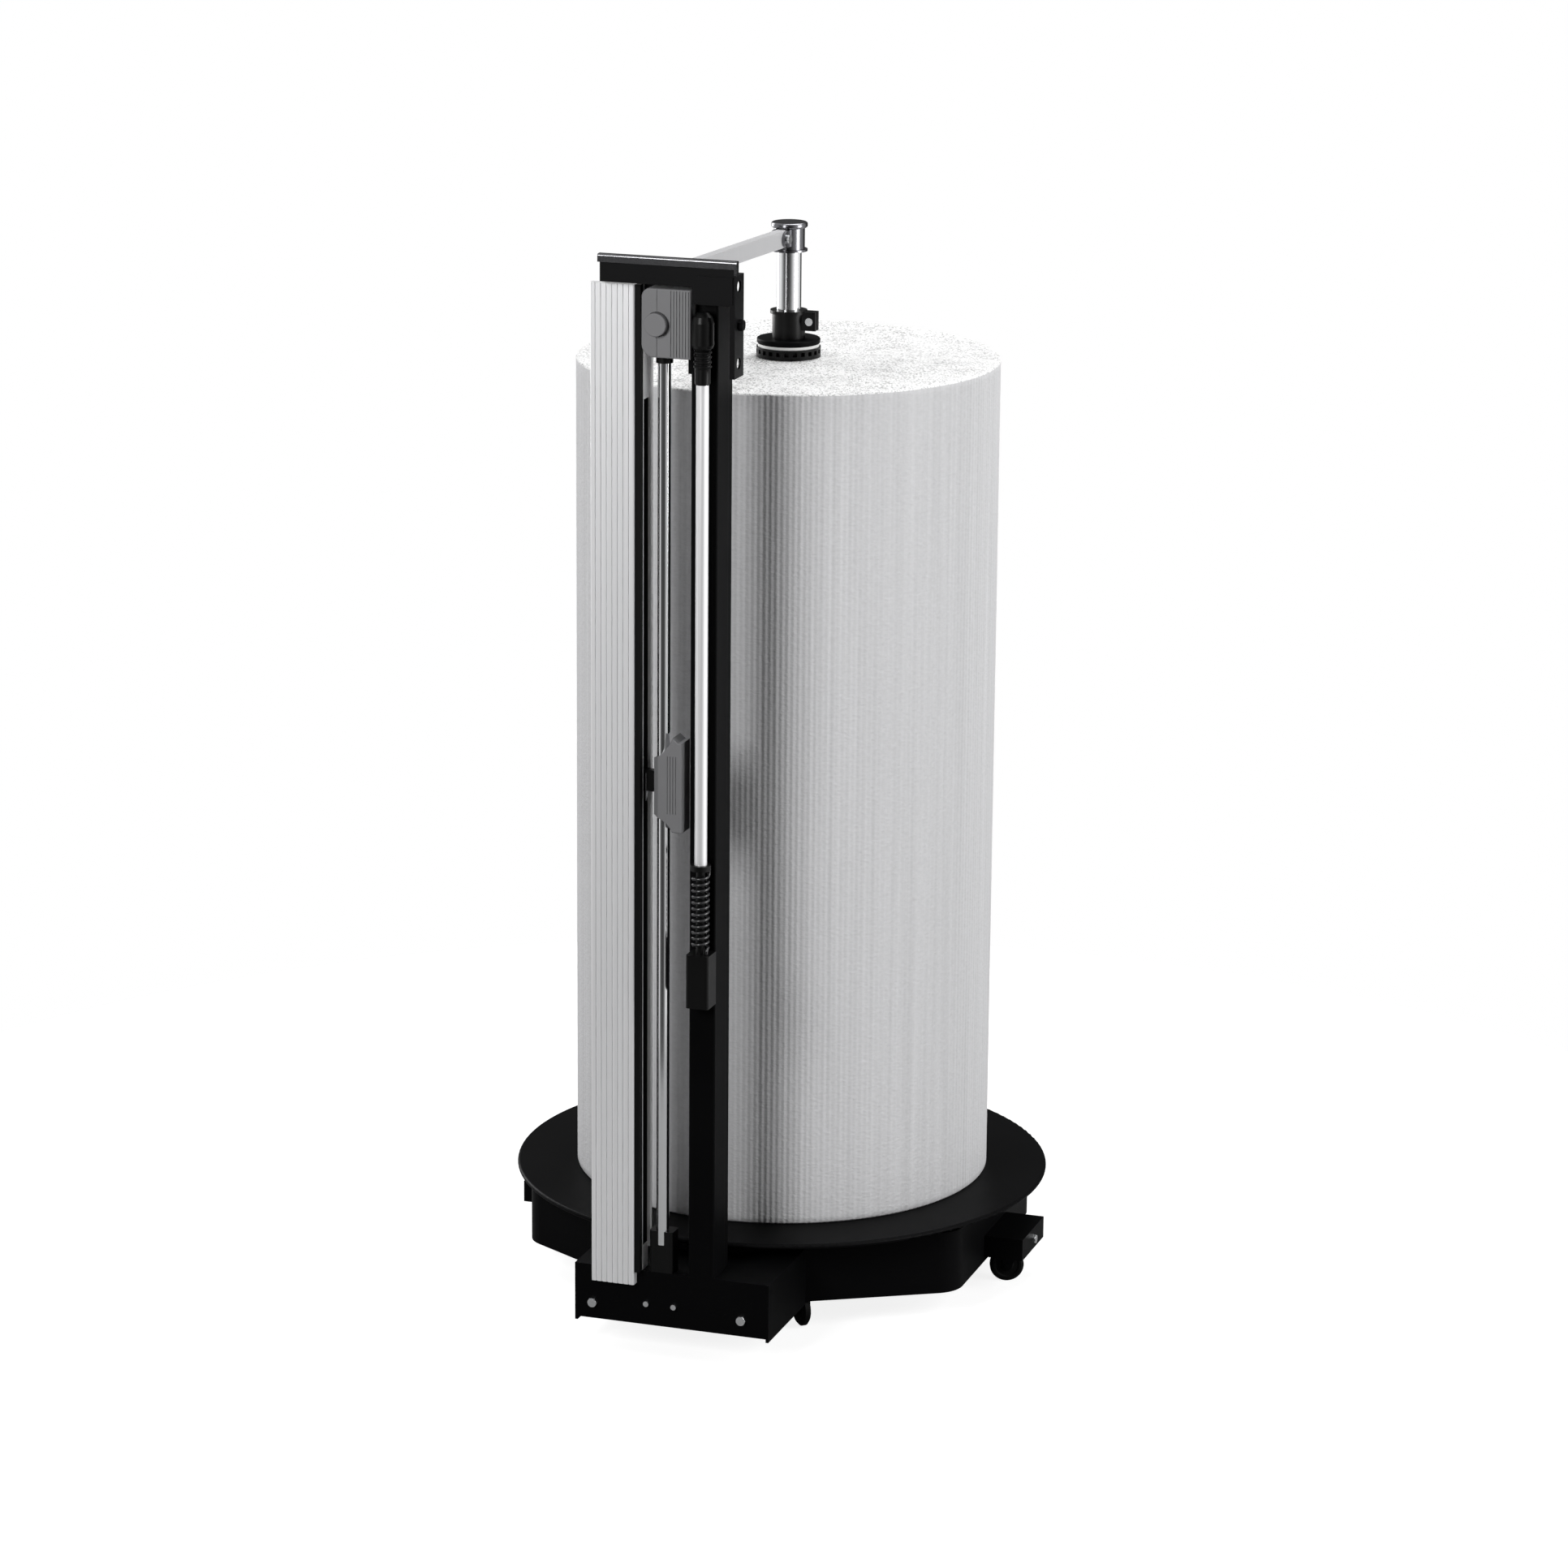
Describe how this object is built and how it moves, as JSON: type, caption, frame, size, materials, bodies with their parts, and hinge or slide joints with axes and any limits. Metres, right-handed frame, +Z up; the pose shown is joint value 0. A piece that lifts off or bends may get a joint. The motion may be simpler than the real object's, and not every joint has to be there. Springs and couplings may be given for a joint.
{
  "type": "wrap roll stand with cutting column",
  "caption": "Mobile floor stand for an upright roll of fluted wrap, with a turntable and a vertical sliding-knife column.",
  "frame": {"origin": "on the floor, under the middle of the stand's overall box", "axes": "+Z up, -Y towards the user at the cutting column, +X to the user's right"},
  "size_m": [0.788, 0.895, 1.569],
  "materials": {
    "black_paint": "semi-gloss powder coat",
    "black_head": "semi-gloss powder coat",
    "zinc": "bright zinc plate",
    "bearing_steel": "ground",
    "anodised": "natural anodised, satin",
    "bright_bar": "polished",
    "grey_moulding": "fine satin texture",
    "black_moulding": "satin",
    "black_rubber": "matt",
    "pale_washer": "smooth",
    "spring_black": "black oiled steel",
    "blade_steel": "ground edge",
    "wrap": "fine fluted, matt",
    "core_board": "matt"
  },
  "bodies": {
    "stand": {"base_pan": "black_paint", "lower_race": "bearing_steel", "kingpin": "bearing_steel", "cross_member": "black_paint", "base_bolts": "zinc", "right_outrigger": "black_paint", "left_outrigger": "black_paint", "castor_plates": "zinc", "castor_hangers": "black_paint", "ribbed_plate": "anodised", "seal_strip": "black_rubber", "knife_rail": "anodised", "post": "black_paint", "post_channel": "black_paint", "head_beam": "black_paint", "head_cover": "black_head", "head_trim": "black_head", "side_knob": "zinc", "upper_housing": "grey_moulding", "guide_rod": "bright_bar", "rod_collar": "black_moulding", "rod_foot": "black_moulding", "guide_boot": "black_moulding", "guide_spring": "spring_black", "spring_anchor": "black_moulding", "top_arm": "anodised", "arm_bolts": "zinc", "upper_collar": "anodised", "ear_bolt": "zinc"},
    "turntable": {"turntable_disc": "black_paint", "upper_race": "bearing_steel", "core_spigot": "black_moulding", "spigot_screws": "zinc", "roll_core": "core_board", "paper_roll": "wrap"},
    "ball_ring": {"bearing_balls": "bearing_steel"},
    "mast": {"mast_tube": "bright_bar", "mast_cap": "anodised", "lower_collar": "black_moulding", "lug_bolt": "zinc", "core_flange": "black_paint", "thrust_washer": "pale_washer"},
    "plug": {"core_plug": "black_moulding"},
    "cutter": {"cutter_grip": "grey_moulding", "grip_bushes": "black_moulding", "knife_shoe": "black_moulding", "knife_blade": "blade_steel"},
    "button": {"push_button": "grey_moulding"},
    "guide": {"guide_tube": "bright_bar", "guide_seat": "black_moulding"},
    "right_fork": {"right_castor_fork": "zinc"},
    "right_wheel": {"right_castor_wheel": "black_rubber"},
    "left_fork": {"left_castor_fork": "zinc"},
    "left_wheel": {"left_castor_wheel": "black_rubber"},
    "front_right_fork": {"front_right_castor_fork": "zinc"},
    "front_right_wheel": {"front_right_castor_wheel": "black_rubber"},
    "front_left_fork": {"front_left_castor_fork": "zinc"},
    "front_left_wheel": {"front_left_castor_wheel": "black_rubber"},
    "rear_fork": {"rear_castor_fork": "zinc"},
    "rear_wheel": {"rear_castor_wheel": "black_rubber"}
  },
  "joints": [
    {"name": "turntable_spin", "type": "hinge", "parent": "stand", "child": "turntable", "pos_m": [0, 0.056, 0.15], "axis": [0, 0, 1], "continuous": true},
    {"name": "ball_ring_roll", "type": "hinge", "parent": "stand", "child": "ball_ring", "pos_m": [0, 0.056, 0.1405], "axis": [0, 0, 1], "continuous": true},
    {"name": "mast_lift", "type": "slide", "parent": "stand", "child": "mast", "axis": [0, 0, 1], "range_m": [0, 0.075]},
    {"name": "plug_spin", "type": "hinge", "parent": "mast", "child": "plug", "pos_m": [0, 0.056, 1.3533], "axis": [0, 0, 1], "continuous": true},
    {"name": "cutter_slide", "type": "slide", "parent": "stand", "child": "cutter", "axis": [0, 0, 1], "range_m": [-0.5765, 0.5102]},
    {"name": "button_press", "type": "slide", "parent": "stand", "child": "button", "axis": [0, 1, 0], "range_m": [0, 0.005], "stiffness_N_per_m": 900, "springref_m": -0.002},
    {"name": "guide_give", "type": "slide", "parent": "stand", "child": "guide", "axis": [0, 0, 1], "range_m": [-0.03, 0], "stiffness_N_per_m": 1500, "springref_m": 0.015, "deforming": ["guide_spring"]},
    {"name": "right_swivel", "type": "hinge", "parent": "stand", "child": "right_fork", "pos_m": [0.36202, 0.056, 0.08], "axis": [0, 0, 1], "continuous": true},
    {"name": "right_wheel_spin", "type": "hinge", "parent": "right_fork", "child": "right_wheel", "pos_m": [0.35071, 0.05199, 0.025], "axis": [0.3338, -0.9426, 0], "continuous": true},
    {"name": "left_swivel", "type": "hinge", "parent": "stand", "child": "left_fork", "pos_m": [-0.36202, 0.056, 0.08], "axis": [0, 0, 1], "continuous": true},
    {"name": "left_wheel_spin", "type": "hinge", "parent": "left_fork", "child": "left_wheel", "pos_m": [-0.35219, 0.06288, 0.025], "axis": [-0.5736, 0.8192, 0], "continuous": true},
    {"name": "front_right_swivel", "type": "hinge", "parent": "stand", "child": "front_right_fork", "pos_m": [0.118, -0.21796, 0.08], "axis": [0, 0, 1], "continuous": true},
    {"name": "front_right_wheel_spin", "type": "hinge", "parent": "front_right_fork", "child": "front_right_wheel", "pos_m": [0.12571, -0.22715, 0.025], "axis": [0.766, 0.6428, 0], "continuous": true},
    {"name": "front_left_swivel", "type": "hinge", "parent": "stand", "child": "front_left_fork", "pos_m": [-0.118, -0.21796, 0.08], "axis": [0, 0, 1], "continuous": true},
    {"name": "front_left_wheel_spin", "type": "hinge", "parent": "front_left_fork", "child": "front_left_wheel", "pos_m": [-0.12783, -0.22484, 0.025], "axis": [0.5736, -0.8192, 0], "continuous": true},
    {"name": "rear_swivel", "type": "hinge", "parent": "stand", "child": "rear_fork", "pos_m": [0, 0.35, 0.08], "axis": [0, 0, 1], "continuous": true},
    {"name": "rear_wheel_spin", "type": "hinge", "parent": "rear_fork", "child": "rear_wheel", "pos_m": [-0.01128, 0.3541, 0.025], "axis": [-0.342, -0.9397, 0], "continuous": true}
  ],
  "couplings": [
    {"joint": "ball_ring_roll", "follows": "turntable_spin", "ratio": 0.5},
    {"joint": "plug_spin", "follows": "turntable_spin", "ratio": 1}
  ]
}
